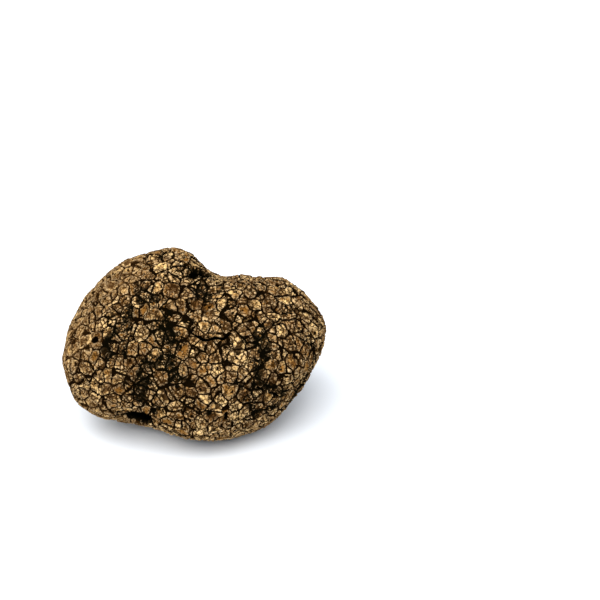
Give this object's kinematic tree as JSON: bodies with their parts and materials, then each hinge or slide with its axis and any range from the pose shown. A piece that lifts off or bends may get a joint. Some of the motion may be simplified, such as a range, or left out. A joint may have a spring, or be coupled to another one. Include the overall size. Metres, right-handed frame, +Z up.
{
  "type": "black truffle",
  "caption": "Whole black truffle: a lobed, kidney-shaped tuber with a cracked, warty dark rind, resting on a small flat spot.",
  "frame": {"origin": "in the plane of the flat foot that the truffle rests on, under the middle of its box", "axes": "+X along the truffle's length, +Y towards its back, +Z up"},
  "size_m": [0.065, 0.051, 0.0435],
  "materials": {
    "rind": "dry warty rind: small flat tan and ochre plates parted by dark brown to black cracks, with black hollows, matte with a faint sheen on the plates"
  },
  "bodies": {
    "root": {"truffle": "rind"}
  },
  "joints": []
}
